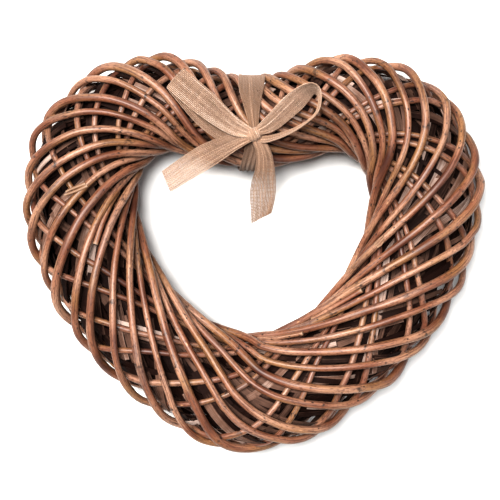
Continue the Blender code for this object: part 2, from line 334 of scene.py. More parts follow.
def new_material(name: str) -> tuple[bpy.types.Material, bpy.types.NodeTree, bpy.types.Node]:
    """Start a material.

    Args:
        name: what it is called.

    Returns:
        The material, its node tree and its shader.
    """
    material = bpy.data.materials.new(name)
    material.use_nodes = True
    return material, material.node_tree, material.node_tree.nodes["Principled BSDF"]


def long_noise(tree: bpy.types.NodeTree, place: bpy.types.NodeSocket, across: float,
               along: float, detail: float) -> bpy.types.Node:
    """Draw noise that is stretched along a rod, a split or a thread.

    Args:
        tree: the material's node tree.
        place: where a point lies in the piece's own space, in metres, with Z along it.
        across, along: how many features a metre has, across the piece and along it.
        detail: how many layers of finer noise lie over it.

    Returns:
        The node of the noise.
    """
    stretched = add_node(tree, "ShaderNodeVectorMath", (place, (across, across, along)),
                         operation="MULTIPLY")
    return add_node(tree, "ShaderNodeTexNoise", {
        "Vector": stretched, "Scale": 1.0, "Detail": detail})


def strength(tree: bpy.types.NodeTree, *patterns: tuple[Any, float, float, float]
             ) -> bpy.types.Node:
    """Work out how much of a colour lies where each of some patterns is strong.

    Args:
        tree: the material's node tree.
        *patterns: of each one, its value, the values where it begins and where it is full, and
            how much it then gives.

    Returns:
        The node that multiplies them.
    """
    product = None
    for value, begins, full, most in patterns:
        eased = add_node(tree, "ShaderNodeMapRange", {
            "Value": value, "From Min": begins, "From Max": full, "To Max": most},
            interpolation_type="SMOOTHSTEP")
        product = eased if product is None else add_node(
            tree, "ShaderNodeMath", (product, eased), operation="MULTIPLY")
    return product


def spots(tree: bpy.types.NodeTree, place: bpy.types.NodeSocket, width: float, length: float,
          inner: float, outer: float, share: float) -> bpy.types.Node:
    """Draw spots in a share of the cells of a loose grid.

    Args:
        tree: the material's node tree.
        place: where a point lies in the piece's own space, in metres, with Z along it.
        width, length: of a cell, in metres.
        inner, outer: how far from its middle a spot is full and ends, in cells.
        share: the share of the cells that have a spot.

    Returns:
        The node that is 1 in the spots.
    """
    edge = 0.02  # so that the share is not cut off sharply
    cells = add_node(tree, "ShaderNodeVectorMath", (
        place, (1 / width, 1 / width, 1 / length)), operation="MULTIPLY")
    spot = add_node(tree, "ShaderNodeTexVoronoi", {"Vector": cells, "Scale": 1.0})
    chance = add_node(tree, "ShaderNodeSeparateColor", (spot.outputs["Color"],))
    return strength(tree, (spot.outputs["Distance"], outer, inner, 1.0),
                    (chance, 1 - share, 1 - share + edge, 1.0))


@dataclass(frozen=True)
class Willow:
    """Boiled willow with its bark on: waxy brown, with darker streaks, specks and scars.

    Each pattern has its features in a metre across the bark, in a metre along it, and its layers
    of finer noise.
    """

    name: str
    light: str
    middle: str
    dark: str
    pith: str = "#8F745E"
    scar: str = "#180B07"
    bloom: str = "#634D47"  # greyish skin that the steam lifts
    fleck: str = "#A88263"  # wood bared where the bark is rubbed off
    golden: str = "#86623F"  # where the steaming has taken less of the tan
    tan: tuple[float, float, float] = (30.0, 11.0, 2.0)  # patches of 33 x 90 mm
    streaks: tuple[float, float, float] = (1000.0, 30.0, 4.0)  # 1 mm wide, 33 mm long
    specks: tuple[float, float, float] = (900.0, 300.0, 3.0)  # 1.1 x 3.3 mm
    warmth: tuple[float, float, float] = (50.0, 16.0, 2.0)  # 20 x 62 mm
    dust: tuple[float, float, float] = (70.0, 10.0, 3.0)  # 14 x 100 mm
    crust: tuple[float, float, float] = (300.0, 200.0, 3.0)  # 3 x 5 mm, round a knot
    bud: tuple[float, float] = (0.0052, 0.00936)  # spacing of the buds' scars
    rub: tuple[float, float] = (0.0030, 0.0080)  # spacing of the rubbed places
    roughness: tuple[float, float] = (0.42, 0.66)
    refraction: float = 1.5
    wax: float = 0.30  # boiling leaves a thin skin that gives the rods their pale shine
    wax_roughness: float = 0.40
    streak_depth: float = 0.7  # against that of a bud's scar
    relief: float = 0.0005
    relief_strength: float = 0.6

    def make(self) -> bpy.types.Material:
        """Build the material, which reads each rod's own attributes.

        Returns:
            The material.
        """
        material, tree, shader = new_material(self.name)
        add = partial(add_node, tree)
        bark = add("ShaderNodeAttribute", attribute_name="bark").outputs["Vector"]
        knot, cut = (add("ShaderNodeAttribute", attribute_name=name).outputs["Fac"]
                     for name in ("knot", "cut"))
        tan, streaks, specks, warmth, dust, crust = (
            long_noise(tree, bark, *pattern) for pattern in (
                self.tan, self.streaks, self.specks, self.warmth, self.dust, self.crust))
        flecks = spots(tree, bark, *self.rub, 0.10, 0.30, 0.05)
        buds = spots(tree, bark, *self.bud, 0.08, 0.17, 0.55)
        scarred = add("ShaderNodeMath", (knot, strength(tree, (crust, 0.52, 0.62, 1.0))),
                      operation="MULTIPLY")
        colour = add("ShaderNodeValToRGB", (tan,), stops=(
            (0.28, self.dark), (0.44, self.middle), (0.60, self.light)))
        for share, paint in (
                (strength(tree, (warmth, 0.48, 0.66, 0.8)), self.golden),
                (strength(tree, (streaks, 0.47, 0.64, 0.62)), self.dark),
                (strength(tree, (dust, 0.53, 0.70, 1.0), (streaks, 0.30, 0.56, 0.6)), self.bloom),
                (strength(tree, (specks, 0.49, 0.68, 0.60)), self.dark),
                (flecks, self.fleck), (buds, self.scar), (scarred, self.scar), (cut, self.pith)):
            colour = add("ShaderNodeMix", {0: share, 6: colour, 7: linear(paint)},
                         data_type="RGBA").outputs[2]
        smooth_bark, rough_bark = self.roughness
        rough = add("ShaderNodeMapRange", {
            "Value": streaks, "To Min": smooth_bark, "To Max": rough_bark})
        raised = add("ShaderNodeMath", (streaks, -self.streak_depth, 1.0),
                     operation="MULTIPLY_ADD")
        pitted = add("ShaderNodeMath", (raised, buds), operation="SUBTRACT")
        bump = add("ShaderNodeBump", {
            "Height": pitted, "Strength": self.relief_strength, "Distance": self.relief})
        feed(tree, shader, {
            "Base Color": colour, "Roughness": rough, "IOR": self.refraction,
            "Coat Weight": self.wax, "Coat Roughness": self.wax_roughness, "Normal": bump})
        return material


@dataclass(frozen=True)
class SplitWillow:
    """Split willow with no bark: dull grey-brown wood with its grain open, dirty in its grooves.

    The patterns are as those of the bark, and each has a weight.
    """

    name: str = "split_willow_weathered"
    light: str = "#A8958B"
    middle: str = "#6A5043"
    dark: str = "#1C0903"
    # Grain 0.7 mm wide and 50 mm long, coarser than real willow's, or it wouldn't show
    fibres: tuple[float, float, float] = (1 / 0.0007, 20.0, 4.0)
    stains: tuple[float, float, float] = (38.0, 38.0, 3.0)  # 26 mm each way
    fibre_weight: float = 0.55
    stain_weight: float = 0.7
    dirt: float = 0.28  # how much darker the wood is before it has its own tone
    roughness: float = 0.72
    gloss: float = 0.15
    relief: float = 0.0005
    relief_strength: float = 0.7

    def make(self) -> bpy.types.Material:
        """Build the material, which reads each split's own grain, and its tone, which holds the
        painted shade of the deeper layers.

        Returns:
            The material.
        """
        material, tree, shader = new_material(self.name)
        add = partial(add_node, tree)
        grain = add("ShaderNodeAttribute", attribute_name="bark").outputs["Vector"]
        tone = add("ShaderNodeAttribute", attribute_name="tone").outputs["Fac"]
        fibres = long_noise(tree, grain, *self.fibres)
        stains = long_noise(tree, grain, *self.stains)
        value = add("ShaderNodeMath", (fibres, self.fibre_weight, -self.dirt),
                    operation="MULTIPLY_ADD")
        value = add("ShaderNodeMath", (value, tone), operation="ADD")
        value = add("ShaderNodeMath", (stains, self.stain_weight, value),
                    operation="MULTIPLY_ADD")
        colour = add("ShaderNodeValToRGB", (value,), stops=(
            (0.35, self.dark), (0.72, self.middle), (1.0, self.light)))
        bump = add("ShaderNodeBump", {
            "Height": fibres, "Strength": self.relief_strength, "Distance": self.relief})
        feed(tree, shader, {
            "Base Color": colour, "Roughness": self.roughness, "Specular IOR Level": self.gloss,
            "Normal": bump})
        return material


@dataclass(frozen=True)
class JuteHessian:
    """Jute yarn, loosely spun: dull golden tan, hairy, with pale and brown fibres in it.

    The patterns are as those of the bark.
    """

    name: str = "jute_hessian"
    light: str = "#C2AD9C"
    middle: str = "#B0927B"
    dark: str = "#785A42"
    # Fibres 0.4 mm thick in twists of 3.2 mm, coarser than real jute's, or they wouldn't show
    fibres: tuple[float, float, float] = (2600.0, 312.5, 3.0)
    patches: tuple[float, float, float] = (300.0, 45.0, 2.0)  # 3 x 22 mm
    weight: float = 0.72
    roughness: float = 0.88
    hair: float = 0.25  # loose fibres that catch the light
    hair_roughness: float = 0.6
    relief: float = 0.0002
    relief_strength: float = 0.6

    def make(self) -> bpy.types.Material:
        """Build the material, which reads each thread's own fibres, and its tone, which holds
        painted light and shade.

        Returns:
            The material.
        """
        material, tree, shader = new_material(self.name)
        add = partial(add_node, tree)
        yarn = add("ShaderNodeAttribute", attribute_name="bark").outputs["Vector"]
        tone = add("ShaderNodeAttribute", attribute_name="tone").outputs["Fac"]
        fibres = long_noise(tree, yarn, *self.fibres)
        patches = long_noise(tree, yarn, *self.patches)
        value = add("ShaderNodeMath", (patches, fibres), operation="ADD")
        value = add("ShaderNodeMath", (value, self.weight, tone), operation="MULTIPLY_ADD")
        colour = add("ShaderNodeValToRGB", (value,), stops=(
            (0.55, self.dark), (0.92, self.middle), (1.0, self.light)))
        bump = add("ShaderNodeBump", {
            "Height": fibres, "Strength": self.relief_strength, "Distance": self.relief})
        feed(tree, shader, {
            "Base Color": colour, "Roughness": self.roughness, "Sheen Weight": self.hair,
            "Sheen Roughness": self.hair_roughness, "Normal": bump})
        return material


def new_object(name: str, data: bpy.types.ID) -> bpy.types.Object:
    """Put an object with its data in the scene.

    Args:
        name: what it is called.
        data: its mesh, light or camera.

    Returns:
        The object.
    """
    made = bpy.data.objects.new(name, data)
    bpy.context.scene.collection.objects.link(made)
    return made


def path_mesh(name: str, chains: list[Array], values: dict[str, list[Array]]
              ) -> bpy.types.Object:
    """Keep paths as chains of edges, with values at their points.

    Args:
        name: the object's name.
        chains: the points of each path.
        values: for each attribute, one array a path, of numbers or of vectors.

    Returns:
        The object.
    """
    points = np.vstack(chains)
    counts = [len(chain) for chain in chains]
    first = np.concatenate([[0], np.cumsum(counts)[:-1]])
    edges = np.vstack([np.stack([np.arange(n - 1), np.arange(1, n)], 1) + start
                       for n, start in zip(counts, first)])
    mesh = bpy.data.meshes.new(name)
    mesh.from_pydata(points.tolist(), edges.tolist(), [])
    for key, arrays in values.items():
        joined = np.concatenate(arrays)
        kind, slot = ("FLOAT", "value") if joined.ndim == 1 else ("FLOAT_VECTOR", "vector")
        layer = mesh.attributes.new(key, kind, "POINT")
        layer.data.foreach_set(slot, joined.astype(np.float32).ravel())
    return new_object(name, mesh)


def set_inputs(obj: bpy.types.Object, tree: bpy.types.NodeTree, values: dict[str, Any]) -> None:
    """Put a geometry tree on an object.

    Args:
        obj: the object.
        tree: the tree.
        values: what its named inputs hold.
    """
    modifier = obj.modifiers.new(tree.name, "NODES")
    modifier.node_group = tree
    for item in tree.interface.items_tree:
        if item.item_type == "SOCKET" and item.in_out == "INPUT" and item.name in values:
            modifier[item.identifier] = values[item.name]


def plain_mesh(source: bpy.types.Object, name: str) -> bpy.types.Object:
    """Turn what an object's modifiers make into a plain mesh, and remove the object.

    Args:
        source: the object with its modifiers.
        name: the new object's name.

    Returns:
        An object at the origin with the finished mesh.
    """
    graph = bpy.context.evaluated_depsgraph_get()
    mesh = bpy.data.meshes.new_from_object(source.evaluated_get(graph), depsgraph=graph)
    mesh.name = name
    bpy.data.objects.remove(source)
    return new_object(name, mesh)


class Tree:
    """A geometry tree with named inputs, which ends in Realize Instances and Set Material.

    What is swept along its curves has the attribute bark, which the finishes read: where a point
    lies round the piece and along it, in metres.
    """

    def __init__(self, name: str, inputs: dict[str, str]) -> None:
        """Start the tree.

        Args:
            name: the tree's name.
            inputs: the kind of each input, by its name.
        """
        self.tree = bpy.data.node_groups.new(name, "GeometryNodeTree")
        self.add = partial(add_node, self.tree)
        for label, kind in {"Geometry": "Geometry", **inputs, "Finish": "Material"}.items():
            self.tree.interface.new_socket(label, in_out="INPUT",
                                           socket_type=f"NodeSocket{kind}")
        self.tree.interface.new_socket("Geometry", in_out="OUTPUT",
                                       socket_type="NodeSocketGeometry")
        self.given = self.tree.nodes.new("NodeGroupInput").outputs

    def even_curve(self) -> bpy.types.Node:
        """Turn the given paths into smooth curves with even steps.

        Returns:
            The node of the curves.
        """
        curve = self.add("GeometryNodeMeshToCurve", {"Mesh": self.given["Geometry"]})
        curve = self.add("GeometryNodeCurveSplineType", {"Curve": curve},
                         spline_type="CATMULL_ROM")
        return self.add("GeometryNodeResampleCurve", {
            "Curve": curve, "Length": self.given["Step"]}, mode="LENGTH")

    def sweep(self, curve: bpy.types.Node, outline: bpy.types.Node, size: str, along: Any
              ) -> bpy.types.Node:
        """Sweep an outline along curves and keep where each point lies in the piece.

        Args:
            curve: the node of the curves.
            outline: the node of a closed outline of unit size.
            size: the attribute that scales the outline.
            along: how far along the piece a point is, in metres.

        Returns:
            The node of the mesh.
        """
        outline = self.add("GeometryNodeStoreNamedAttribute", {
            "Geometry": outline, "Name": "around", "Value": self.add(
                "GeometryNodeInputPosition")}, data_type="FLOAT_VECTOR")
        scale = self.add("GeometryNodeInputNamedAttribute", {"Name": size})
        mesh = self.add("GeometryNodeCurveToMesh", {
            "Curve": curve, "Profile Curve": outline, "Scale": scale, "Fill Caps": True})
        around = self.add("GeometryNodeInputNamedAttribute", {"Name": "around"},
                          data_type="FLOAT_VECTOR")
        around = self.add("ShaderNodeVectorMath", {0: around, "Scale": scale}, operation="SCALE")
        lengthwise = self.add("ShaderNodeCombineXYZ", {2: along})
        bark = self.add("ShaderNodeVectorMath", (around, lengthwise), operation="ADD")
        return self.add("GeometryNodeStoreNamedAttribute", {
            "Geometry": mesh, "Name": "bark", "Value": bark}, data_type="FLOAT_VECTOR")

    def close(self, geometry: bpy.types.Node, smooth_faces: bool) -> bpy.types.NodeTree:
        """Shade, finish and end the tree.

        Args:
            geometry: the node of the finished shape.
            smooth_faces: whether its faces are shaded smooth.

        Returns:
            The whole tree.
        """
        shaded = self.add("GeometryNodeSetShadeSmooth", {
            "Geometry": geometry, "Shade Smooth": smooth_faces})
        real = self.add("GeometryNodeRealizeInstances", (shaded,))
        dressed = self.add("GeometryNodeSetMaterial", {
            "Geometry": real, "Material": self.given["Finish"]})
        self.add("NodeGroupOutput", {"Geometry": dressed})
        return self.tree


def rod_tree() -> bpy.types.NodeTree:
    """Make the tree that turns a path into a tapered willow rod that wanders and has knots.

    Returns:
        The tree. Its paths have run, along, free, own and torn at their points.
    """
    seed_step = 3.17  # between the places of two rods in the noise, in metres
    bends = 13.0  # that a rod wanders through in a metre
    held = 0.25  # the share of its wander that is left at the inner rim
    knot_reach = 0.005
    lumps, lumpiness = 24.0, 0.22  # swellings in a metre, and how much they add
    clearance = 1.1  # over the floor, in radii
    made = Tree("willow_rod", {
        "Butt": "Float", "Tip": "Float", "Sides": "Int", "Step": "Float", "Stout": "Float",
        "Wander": "Float", "Kink": "Float", "Knot Spacing": "Float", "Knot Swell": "Float",
        "Seed": "Float"})
    add, given = made.add, made.given
    run, along, free, own, torn, thick = (
        add("GeometryNodeInputNamedAttribute", {"Name": name})
        for name in ("run", "along", "free", "own", "torn", "thick"))
    place = add("GeometryNodeInputPosition")

    seeded = add("ShaderNodeMath", (given["Seed"], seed_step), operation="MULTIPLY")
    shift = add("ShaderNodeCombineXYZ", (seeded, seeded, seeded))
    shifted = add("ShaderNodeVectorMath", (place, shift), operation="ADD")
    drift = add("ShaderNodeTexNoise", {"Vector": shifted, "Scale": bends, "Detail": 1.5},
                noise_dimensions="3D").outputs["Color"]
    centred = add("ShaderNodeVectorMath", (drift, (0.5, 0.5, 0.5)), operation="SUBTRACT")
    loose = add("ShaderNodeMath", (free, 1 - held, held), operation="MULTIPLY_ADD")
    amount = add("ShaderNodeMath", (given["Wander"], loose), operation="MULTIPLY")
    wander = add("ShaderNodeVectorMath", {0: centred, "Scale": amount}, operation="SCALE")

    onward = add("ShaderNodeMath", (along, given["Seed"]), operation="ADD")
    cells = add("ShaderNodeMath", (onward, given["Knot Spacing"]), operation="DIVIDE")
    near = add("ShaderNodeTexVoronoi", {"W": cells, "Scale": 1.0}, voronoi_dimensions="1D")
    distance = add("ShaderNodeMath", (near, given["Knot Spacing"]), operation="MULTIPLY")
    aside = add("ShaderNodeCombineXYZ", [add("ShaderNodeMath", (seeded,), operation=wave)
                                         for wave in ("SINE", "COSINE")])
    bent = add("ShaderNodeMath", (distance, given["Kink"]), operation="MULTIPLY")
    bent = add("ShaderNodeMath", (bent, free), operation="MULTIPLY")
    kink = add("ShaderNodeVectorMath", {0: aside, "Scale": bent}, operation="SCALE")
    offset = add("ShaderNodeVectorMath", (wander, kink), operation="ADD")
    curve = add("GeometryNodeSetPosition", {"Geometry": made.even_curve(), "Offset": offset})

    knot = add("ShaderNodeMapRange", {
        "Value": distance, "From Min": 0.0, "From Max": knot_reach, "To Min": 1.0,
        "To Max": 0.0}, interpolation_type="SMOOTHSTEP")
    size = add("ShaderNodeMix", {0: run, 2: given["Butt"], 3: given["Tip"]})
    uneven = add("ShaderNodeTexNoise", {"W": onward, "Scale": lumps, "Detail": 2.0},
                 noise_dimensions="1D")
    uneven = add("ShaderNodeMath", (uneven, lumpiness, 1 - lumpiness / 2),
                 operation="MULTIPLY_ADD")
    swell = add("ShaderNodeMath", (knot, given["Knot Swell"], uneven), operation="MULTIPLY_ADD")
    stout = add("ShaderNodeMath", (free, given["Stout"], 1.0), operation="MULTIPLY_ADD")
    grown = add("ShaderNodeMath", (swell, stout), operation="MULTIPLY")
    half = add("ShaderNodeMath", (size, 0.5), operation="MULTIPLY")
    radius = add("ShaderNodeMath", (half, grown), operation="MULTIPLY")
    is_strand = add("ShaderNodeMath", (own, 0.0), operation="GREATER_THAN")
    radius = add("ShaderNodeMix", {0: is_strand, 2: radius, 3: own})
    for name, value in (("knot", knot), ("thick", radius)):
        curve = add("GeometryNodeStoreNamedAttribute", {
            "Geometry": curve, "Name": name, "Value": value})

    height = add("ShaderNodeSeparateXYZ", (place,)).outputs[2]
    least = add("ShaderNodeMath", (thick, clearance), operation="MULTIPLY")
    short = add("ShaderNodeMath", (least, height), operation="SUBTRACT")
    onto_floor = add("ShaderNodeMath", (short, 0.0), operation="MAXIMUM")
    curve = add("GeometryNodeSetPosition", {
        "Geometry": curve, "Offset": add("ShaderNodeCombineXYZ", {2: onto_floor})})
    cut = add("ShaderNodeMath", (add("GeometryNodeCurveEndpointSelection"), torn),
              operation="MAXIMUM")
    curve = add("GeometryNodeStoreNamedAttribute", {
        "Geometry": curve, "Name": "cut", "Value": cut})
    outline = add("GeometryNodeCurvePrimitiveCircle", {
        "Resolution": given["Sides"], "Radius": 1.0}, mode="RADIUS")
    lengthwise = add("ShaderNodeMath", (given["Seed"], 2.0, along), operation="MULTIPLY_ADD")
    return made.close(made.sweep(curve, outline, "thick", lengthwise), True)


def split_tree() -> bpy.types.NodeTree:
    """Make the tree that turns paths into flat splits.

    Returns:
        The tree. Its paths have facing, broad, along and tone at their points.
    """
    made = Tree("willow_splits", {"Thickness Share": "Float", "Step": "Float"})
    add = made.add
    facing = add("GeometryNodeInputNamedAttribute", {"Name": "facing"},
                 data_type="FLOAT_VECTOR")
    curve = add("GeometryNodeSetCurveNormal", {"Curve": made.even_curve(), "Normal": facing},
                mode="FREE")
    outline = add("GeometryNodeCurvePrimitiveQuadrilateral", {
        "Width": made.given["Thickness Share"], "Height": 1.0}, mode="RECTANGLE")
    along = add("GeometryNodeInputNamedAttribute", {"Name": "along"})
    return made.close(made.sweep(curve, outline, "broad", along), False)


def weave_tree() -> bpy.types.NodeTree:
    """Make the tree that turns a grid into the warp and the weft threads of a plain weave.

    Returns:
        The tree. Its grid has over and tone at its points, and is_warp at its edges.
    """
    thinnest, thickest = 0.8, 1.2  # that a thread may be, against its size
    slubs, slub, between = 260.0, 0.9, 0.55  # in a metre, how much they add, and to how much
    thread_step = 50.0  # between the places of two threads in the noise, in metres
    made = Tree("plain_weave", {
        "Warp": "Float", "Weft": "Float", "Lift": "Float", "Sides": "Int"})
    add, given = made.add, made.given
    facing, is_warp, over, tone, walked = (
        add("GeometryNodeInputNamedAttribute", {"Name": name}, data_type=kind)
        for name, kind in (("facing", "FLOAT_VECTOR"), ("is_warp", "BOOLEAN"), ("over", "FLOAT"),
                           ("tone", "FLOAT"), ("walked", "FLOAT")))
    is_weft = add("FunctionNodeBooleanMath", (is_warp,), operation="NOT")
    sheet = add("GeometryNodeStoreNamedAttribute", {
        "Geometry": given["Geometry"], "Name": "facing", "Value": add(
            "GeometryNodeInputNormal")}, data_type="FLOAT_VECTOR")
    outline = add("GeometryNodeCurvePrimitiveCircle", {
        "Resolution": given["Sides"], "Radius": 1.0}, mode="RADIUS")
    joined = add("GeometryNodeJoinGeometry")
    # The edges left out, the threads' size, the side where they start, how much paler they are
    # drawn than the cloth as painted light on the warps and painted shade on the wefts, and how
    # much their tones vary
    for seed, (dropped, size, way, thread_painted_shading, vary) in enumerate((
            (is_weft, given["Warp"], 1.0, 0.12, 0.7), (is_warp, given["Weft"], -1.0, -0.10, 0.4))):
        kept = add("GeometryNodeDeleteGeometry", {"Geometry": sheet, "Selection": dropped},
                   domain="EDGE", mode="EDGE_FACE")
        curve = add("GeometryNodeMeshToCurve", {"Mesh": kept})
        side = add("ShaderNodeMath", (over, way), operation="MULTIPLY")
        lift = add("ShaderNodeMath", (side, given["Lift"]), operation="MULTIPLY")
        offset = add("ShaderNodeVectorMath", {0: facing, "Scale": lift}, operation="SCALE")
        curve = add("GeometryNodeSetPosition", {"Geometry": curve, "Offset": offset})
        chance = add("FunctionNodeRandomValue", {
            "ID": add("GeometryNodeCurveOfPoint"), "Seed": seed, 2: thinnest, 3: thickest},
            data_type="FLOAT").outputs[1]
        reached = add("GeometryNodeSplineParameter").outputs["Length"]
        apart = add("ShaderNodeMath", (chance, thread_step, reached), operation="MULTIPLY_ADD")
        lumps = add("ShaderNodeTexNoise", {"W": apart, "Scale": slubs, "Detail": 2.0},
                    noise_dimensions="1D")
        lumps = add("ShaderNodeMath", (lumps, slub, between), operation="MULTIPLY_ADD")
        grown = add("ShaderNodeMath", (chance, lumps), operation="MULTIPLY")
        half = add("ShaderNodeMath", (size, 0.5), operation="MULTIPLY")
        radius = add("ShaderNodeMath", (half, grown), operation="MULTIPLY")
        # Painted light or shade of the kind of thread, with the thread's own random tone
        shade = add("ShaderNodeMath", (chance, vary, thread_painted_shading - vary), operation="MULTIPLY_ADD")
        shade = add("ShaderNodeMath", (tone, shade), operation="ADD")
        for name, value in (("thick", radius), ("walked", apart), ("tone", shade)):
            curve = add("GeometryNodeStoreNamedAttribute", {
                "Geometry": curve, "Name": name, "Value": value})
        thread = made.sweep(curve, outline, "thick", walked)
        made.tree.links.new(thread.outputs[0], joined.inputs[0])
    return made.close(joined, True)


@dataclass(frozen=True)
class Tear:
    """A place on the front where a rod is torn into strands, or where the end of one shows."""

    x: float
    y: float
    length: float  # of the strands, onward along the rod where it is positive
    strands: int
    radius: float
    turn: float = 0.0  # how far the strands bend away from the rod
    barked: bool = False  # one end with its bark on, which runs beside the rod
    steps: int = 13
    aside: float = 0.95  # how far beside the rod such an end lies, in thicknesses of the rod
    closing: float = 0.75  # the share of that which is gone at its far end
    under: tuple[float, float] = (0.1, 0.5)  # how far down it lies, and how much more there
    apart: float = 1.8  # from strand to strand, in radii
    shorter: float = 0.15  # each strand than the last
    bow: tuple[float, float] = (0.9, 0.3)  # how far they spread, and how much more half way
    over: tuple[float, float] = (0.34, 0.2)  # as under
    taper: float = 0.45

    def lay(self, points: Array, nearest: int, thick: float) -> list[tuple[Array, Array]]:
        """Lay the strands along a rod.

        Args:
            points: the points of the rod.
            nearest: the number of its point at the tear.
            thick: how thick the rod is.

        Returns:
            The points and the radii of each strand.
        """
        ahead = unit(points[nearest + 1] - points[nearest - 1]) * math.copysign(1, self.length)
        above = unit(np.array((0.0, 0.0, 1.0)) - ahead * ahead[2])
        side = np.cross(ahead, above)
        run = np.linspace(0, 1, self.steps)[:, None]
        if self.barked:
            places = lengths(points)
            reached = places[nearest] + self.length * run[:, 0]
            beside = np.stack([np.interp(reached, places, points[:, k]) for k in range(3)], 1)
            strand = (beside + side * thick * self.aside * (1 - self.closing * run)
                      - above * thick * (self.under[0] + self.under[1] * run**2))
            return [(strand, np.full(self.steps, self.radius))]
        heading = ahead * math.cos(self.turn) + side * math.sin(self.turn)
        made = []
        for k in range(self.strands):
            spread = (k - (self.strands - 1) / 2) * self.apart * self.radius
            reach = abs(self.length) * (1 - self.shorter * k)
            strand = (points[nearest] + heading * reach * run
                      + side * spread * (self.bow[0] + self.bow[1] * np.sin(math.pi * run))
                      + above * thick * (self.over[0] + self.over[1] * run**2))
            made.append((strand, self.radius * (1 - self.taper * run[:, 0] ** 3)))
        return made


@dataclass
class Winding:
    """One layer of willow rods wound round the tube."""

    node: str
    piece: str
    rods: int
    hand: Hand
    advance: float  # how much of the heart a rod travels in a turn
    inset: float
    sink: float
    nest: float
    butt: float
    tip: float
    sides: int
    wander: float
    stray: float = 0.0  # how far a rod may lie from its even place, in spacings
    uneven: float = 0.08  # how much thicker or thinner one rod is than another
    tears: tuple[Tear, ...] = ()
    pairing: float = 0.0  # how far neighbours draw together over the inner half, in spacings
    turns: int = 2
    back: float = math.pi / 2
    end_scatter: float = math.radians(24)
    end_gap: float = 0.004
    step: float = 0.0035
    stout: float = 0.20  # how much thicker a rod is drawn at the outer rim
    kink: float = 0.05  # how far it bends at a knot, against the way to the next one
    knot_spacing: float = 0.085
    knot_swell: float = 0.06
    torn_wood: float = 0.45  # how bare a torn strand is
    seed_step: float = 1.37
    seed: int = 11
    steps: int = 24

    def path(self, tube: HeartTube, first: float, share_per_turn: float, start: float,
             end: float, stray: float) -> tuple[Array, Array]:
        """One rod's way round the tube.

        Args:
            tube: what it is wound on.
            first: the share of all the winding that lies before it.
            share_per_turn: how much of the winding it travels in a turn.
            start, end: how far round the tube it begins and ends.
            stray: how far it lies from its even place at the outer rim, in spacings.

        Returns:
            Its points, and how far round the tube each one is.
        """
        wound = np.linspace(start, end, round((end - start) / (2 * math.pi) * self.steps))
        moved = (self.pairing * np.sin(wound / 2) + stray * (1 - tube.sunk(wound))) / (
            self.turns * self.rods)
        share = tube.winding(first + moved, self.hand.value * share_per_turn, wound)
        second_turn = np.floor(wound / (2 * np.pi)) % 2
        inset = self.inset + (self.sink + self.nest * second_turn) * tube.sunk(wound)
        return tube.point(share, -wound, inset), wound

    def torn(self, tube: HeartTube, paths: list[Array]
             ) -> dict[int, list[tuple[int, Array, Array, bool]]]:
        """Lay the strands of every tear along the rod that passes nearest to it.

        Args:
            tube: what the rods are wound on.
            paths: the points of each rod.

        Returns:
            For each torn rod, the nearest point's number, the strand's points and radii, and
            whether it still has its bark.
        """
        made: dict[int, list[tuple[int, Array, Array, bool]]] = {}
        for tear in self.tears:
            away = []
            for points in paths:
                flat = np.hypot(points[:, 0] - tear.x, points[:, 1] - tear.y)
                away.append(np.where(points[:, 2] > tube.depth / 2, flat, np.inf))
            number = int(np.argmin([reach.min() for reach in away]))
            nearest = int(np.argmin(away[number]))
            for strand, radius in tear.lay(paths[number], nearest, self.butt):
                made.setdefault(number, []).append((nearest, strand, radius, tear.barked))
        return made

    def source(self, points: Array, wound: Array, free: Array,
               torn: list[tuple[int, Array, Array, bool]]) -> bpy.types.Object:
        """Keep the path of a rod and of its strands, with what the tree reads at their points.

        Args:
            points: the points of the rod.
            wound: how far round the tube each one is.
            free: how near to the outer rim each one is, from 0 to 1.
            torn: the rod's strands.

        Returns:
            The object with the paths.
        """
        along, none = lengths(points), np.zeros(len(points))
        values = {"run": [(wound - wound[0]) / (wound[-1] - wound[0])], "along": [along],
                  "free": [free], "own": [none], "torn": [none]}
        for nearest, strand, radius, barked in torn:
            for key in ("run", "free"):
                values[key].append(np.full(len(strand), values[key][0][nearest]))
            values["along"].append(along[nearest] + lengths(strand))
            values["own"].append(radius)
            values["torn"].append(np.full(len(strand), 0.0 if barked else self.torn_wood))
        return path_mesh(f"{self.piece}_path", [points] + [strand for _, strand, _, _ in torn],
                         values)

    def build(self, tube: HeartTube, tree: bpy.types.NodeTree, finish: bpy.types.Material,
              slot: str) -> list[bpy.types.Object]:
        """Make every rod, in place of its CAD node.

        Args:
            tube: what the rods are wound on.
            tree: the tree that makes a rod.
            finish: its material.
            slot: not used.

        Returns:
            The finished rods.
        """
        crossings = self.turns * self.rods
        jump = 2 * round((self.advance * crossings - 1) / 2) + 1
        chance = random.Random(self.seed)
        starts = [self.back + chance.uniform(-self.end_scatter, self.end_scatter)
                  for _ in range(self.rods)]
        paths = []
        for number in range(self.rods):
            follower = (number + self.hand.value * jump) % self.rods
            end = starts[follower] + self.turns * 2 * math.pi
            end -= self.end_gap / (tube.depth / 2)
            paths.append(self.path(tube, number / self.rods, jump / crossings,
                                   starts[number], end, chance.uniform(-1, 1) * self.stray))
        torn = self.torn(tube, [points for points, _ in paths])
        sources = []
        for number, (points, wound) in enumerate(paths):
            source = self.source(points, wound, 1 - tube.sunk(wound), torn.get(number, []))
            size = 1 + chance.uniform(-self.uneven, self.uneven)
            set_inputs(source, tree, {
                "Butt": self.butt * size, "Tip": self.tip * size, "Sides": self.sides,
                "Step": self.step, "Stout": self.stout, "Wander": self.wander,
                "Kink": self.kink, "Knot Spacing": self.knot_spacing,
                "Knot Swell": self.knot_swell, "Seed": float(number + 1) * self.seed_step,
                "Finish": finish})
            sources.append(source)
        bpy.context.view_layer.update()
        made = []
        for number, source in enumerate(sources):
            rod = plain_mesh(source, f"{self.piece}_{number + 1:02d}")
            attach(rod, "root")
            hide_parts(f"{self.node}_{number + 1:02d}")
            made.append(rod)
        log.info("%s: %d rods, %d faces", self.piece, len(made),
                 sum(len(rod.data.polygons) for rod in made))
        return made


